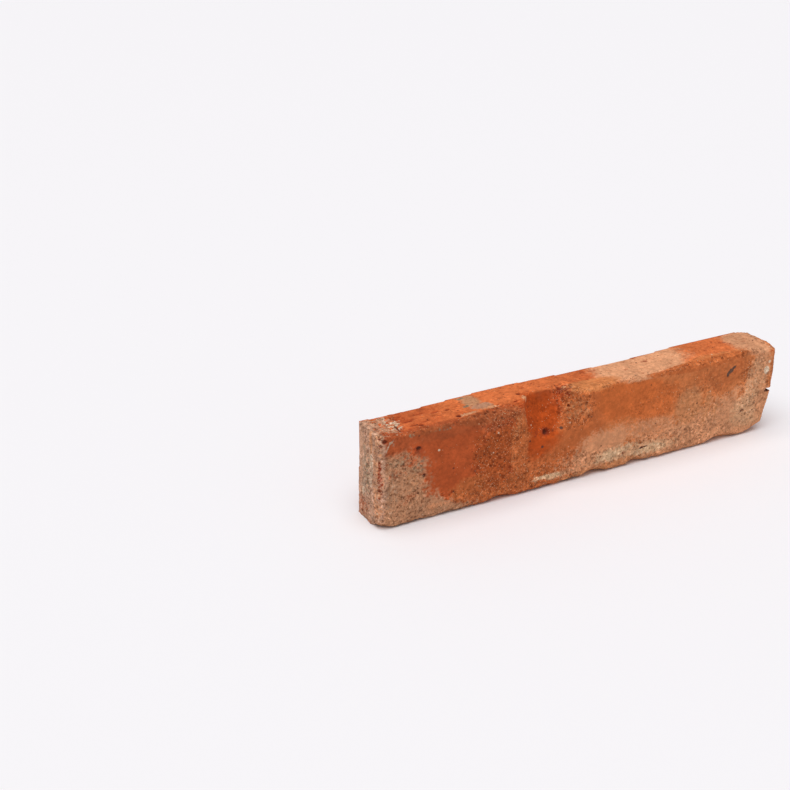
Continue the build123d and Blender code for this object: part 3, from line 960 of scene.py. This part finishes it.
weathered = merged_copy("brick_slip", "weathered_clay")
remesh = weathered.modifiers.new("even facets", "REMESH")
remesh.mode = "VOXEL"
remesh.voxel_size = FACET * MM
use_tree(weathered, relief_tree(clay), RELIEF)
facets = make_plain(weathered)
print("the relief has", facets, "triangles")
thin = weathered.modifiers.new("fewer facets where flat", "DECIMATE")
thin.ratio = min(1.0, MOST_TRIANGLES / facets)
facets = make_plain(weathered)
weathered.data.shade_smooth()
print("kept", facets, "triangles")
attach(weathered, "root")
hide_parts("brick_slip")

# %% [markdown]
# ## Grains that stand proud
# Moulding sand, iron specks and crumbs of old lime mortar are still stuck in the skin. They are too many
# to place by hand on a surface that is all relief, so Geometry Nodes scatters them: points on the clay,
# thickest where it is sandy, each with a small faceted stone that is turned, squashed and tinted at
# random. Half of each stone sits in the clay. A stone has only twenty faces, because none is as wide as a
# millimetre. No stone sits on the saw cut or under the foot.

# %% Sizes of the grains
STONE_FACES = 20
FULL_TURN = 6.3
CLEAR_OF_CUT = 1.5
CLEAR_OF_FLOOR = 0.8
GRAINS = {
    # name: most grains on a square millimetre, radius in millimetres, seed, dark and light colour
    "pale_sand_grains": (0.60, 0.20, 11, daylight(186, 120, 78), daylight(232, 190, 150)),
    "iron_specks": (0.30, 0.20, 12, daylight(70, 42, 34), daylight(120, 64, 40)),
    "lime_crumbs": (0.60, 0.25, 13, daylight(206, 168, 136), daylight(230, 208, 182)),
}
LIME_PLACES = [
    ((-108, 3, 50), (6, 8, 5), 0.2),
    ((-119, -1, 30), (5, 2.5, 15), 0.4),
    ((-69, -6.6, 50), (7, 1.2, 3), 0.5),
    ((-56, -5.2, 50), (6, 1.0, 3), 0.4),
    ((20, FACE, 9), (20, 4, 5), 0.12),
    ((103, FACE, 30), (5, 4, 18), 0.15),
]
print(len(GRAINS), "kinds of grain and", len(LIME_PLACES), "places with lime")


# %% Scatter tree
def scatter_tree(name, material):
    """Sows small stones over a skin, where its attribute "sown" says how thickly."""
    tree, size, out = new_tree(name, ("Per square millimetre", "Radius", "Seed"))
    sown = add(tree, "GeometryNodeInputNamedAttribute", {"Name": "sown"}, data_type="FLOAT")
    density = times(tree, size["Per square millimetre"], sown.outputs["Attribute"], 1 / MM ** 2)
    points = add(tree, "GeometryNodeDistributePointsOnFaces", {
        "Mesh": size["Geometry"], "Density": density, "Seed": size["Seed"],
    })
    stone = add(tree, "GeometryNodeMeshIcoSphere", {"Radius": 1.0, "Subdivisions": 1})
    squash = add(tree, "FunctionNodeRandomValue", {
        0: (0.5, 0.5, 0.4), 1: (1.5, 1.3, 1.0), "Seed": size["Seed"],
    }, data_type="FLOAT_VECTOR").outputs[0]
    turned = add(tree, "FunctionNodeRandomValue", {
        0: (0, 0, 0), 1: [FULL_TURN] * 3,
    }, data_type="FLOAT_VECTOR").outputs[0]
    placed = add(tree, "GeometryNodeInstanceOnPoints", {
        "Points": points.outputs["Points"], "Instance": stone.outputs["Mesh"], "Rotation": turned,
        "Scale": scaled(tree, squash, times(tree, size["Radius"], MM)),
    })
    tint = add(tree, "FunctionNodeRandomValue", {2: 0.0, 3: 1.0}, data_type="FLOAT").outputs[1]
    tinted = add(tree, "GeometryNodeStoreNamedAttribute", {
        "Geometry": placed.outputs[0], "Name": "tint", "Value": tint,
    }, data_type="FLOAT", domain="INSTANCE")
    return end_tree(tree, tinted.outputs[0], material, out)


def stone_material(name, dark, light):
    """Dull stone, each one somewhere between a dark and a light colour."""
    material, shader = dull_material(name, 0.85, 0.2)
    tree = material.node_tree
    tint = add(tree, "ShaderNodeAttribute", attribute_name="tint").outputs["Fac"]
    tree.links.new(mix_colour(tree, tint, dark, light), shader["Base Color"])
    return material


# %% How thickly the grains are sown
def egg_distance(point, centre, radii):
    """The same distance in radii as in the trees, for one point."""
    return math.sqrt(sum(((p - c) / r) ** 2 for p, c, r in zip(point, centre, radii)))


def sow(name, skin):
    """Writes on each point of a skin how thickly these grains lie there."""
    roughness = [value.value for value in skin.attributes["rough"].data]
    sown = skin.attributes.new("sown", "FLOAT", "POINT")
    for vertex, rough_here in zip(skin.vertices, roughness):
        point = vertex.co / MM
        if name == "lime_crumbs":
            amount = sum(s for c, r, s in LIME_PLACES if egg_distance(point, c, r) < 1)
        else:
            amount = min(1.0, max(0.03, rough_here - 0.6))
        free = point.y < SAW_CUT - CLEAR_OF_CUT and point.z > CLEAR_OF_FLOOR
        sown.data[vertex.index].value = amount if free else 0.0


# %% Grains
for name, (thickness, radius, seed, dark, light) in GRAINS.items():
    grains = new_object(name, weathered.data.copy())
    sow(name, grains.data)
    words = name.replace("_", " ")
    scatter = scatter_tree(words, stone_material(words, dark, light))
    use_tree(grains, scatter, {"Per square millimetre": thickness, "Radius": radius, "Seed": seed})
    facets = make_plain(grains)
    print(name, "have", facets // STONE_FACES, "grains and", facets, "triangles")
    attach(grains, "root")

# %% [markdown]
# ## Floor and light
# The slip stands on a pale sheet under a wide soft light from above, which comes a little from the front
# left. The world gives even light from all round, so that the lamp forces no colour. To the camera alone
# the world is white, in case a low view looks past the edge of the sheet.

# %% Floor
FLOOR_SIZE = 8.0

half = FLOOR_SIZE / 2
corners = [(-half, -half, 0), (half, -half, 0), (half, half, 0), (-half, half, 0)]
floor_mesh = bpy.data.meshes.new("floor")
floor_mesh.from_pydata(corners, [], [(0, 1, 2, 3)])
floor = new_object("floor", floor_mesh)
sheet, sheet_shader = dull_material("pale sheet", 0.8, 0.1)
sheet_shader["Base Color"].default_value = daylight(246, 244, 247)
floor_mesh.materials.append(sheet)
print("floor", FLOOR_SIZE, "m wide")

# %% Sky and lamp
SKY_LIGHT = 0.34
SUN_LIGHT = 2.2
SUN_FROM = Vector((-0.20, -0.14, 0.96))
SUN_SPREAD = 55

world = bpy.data.worlds.new("even light")
world.use_nodes = True
bpy.context.scene.world = world
sky = world.node_tree
background = sky.nodes["Background"]
seen = add(sky, "ShaderNodeLightPath").outputs["Is Camera Ray"]
background.inputs["Color"].default_value = (1, 1, 1, 1)
sky.links.new(soft_step(sky, seen, 0, 1, SKY_LIGHT, 1.0), background.inputs["Strength"])

lamp_data = bpy.data.lights.new("soft light", "SUN")
lamp_data.energy = SUN_LIGHT
lamp_data.angle = math.radians(SUN_SPREAD)
lamp = new_object("soft light", lamp_data)
lamp.rotation_mode = "QUATERNION"
lamp.rotation_quaternion = SUN_FROM.to_track_quat("Z", "Y")
bpy.context.scene.view_settings.view_transform = "Standard"
print("sky", SKY_LIGHT, "sun", SUN_LIGHT)
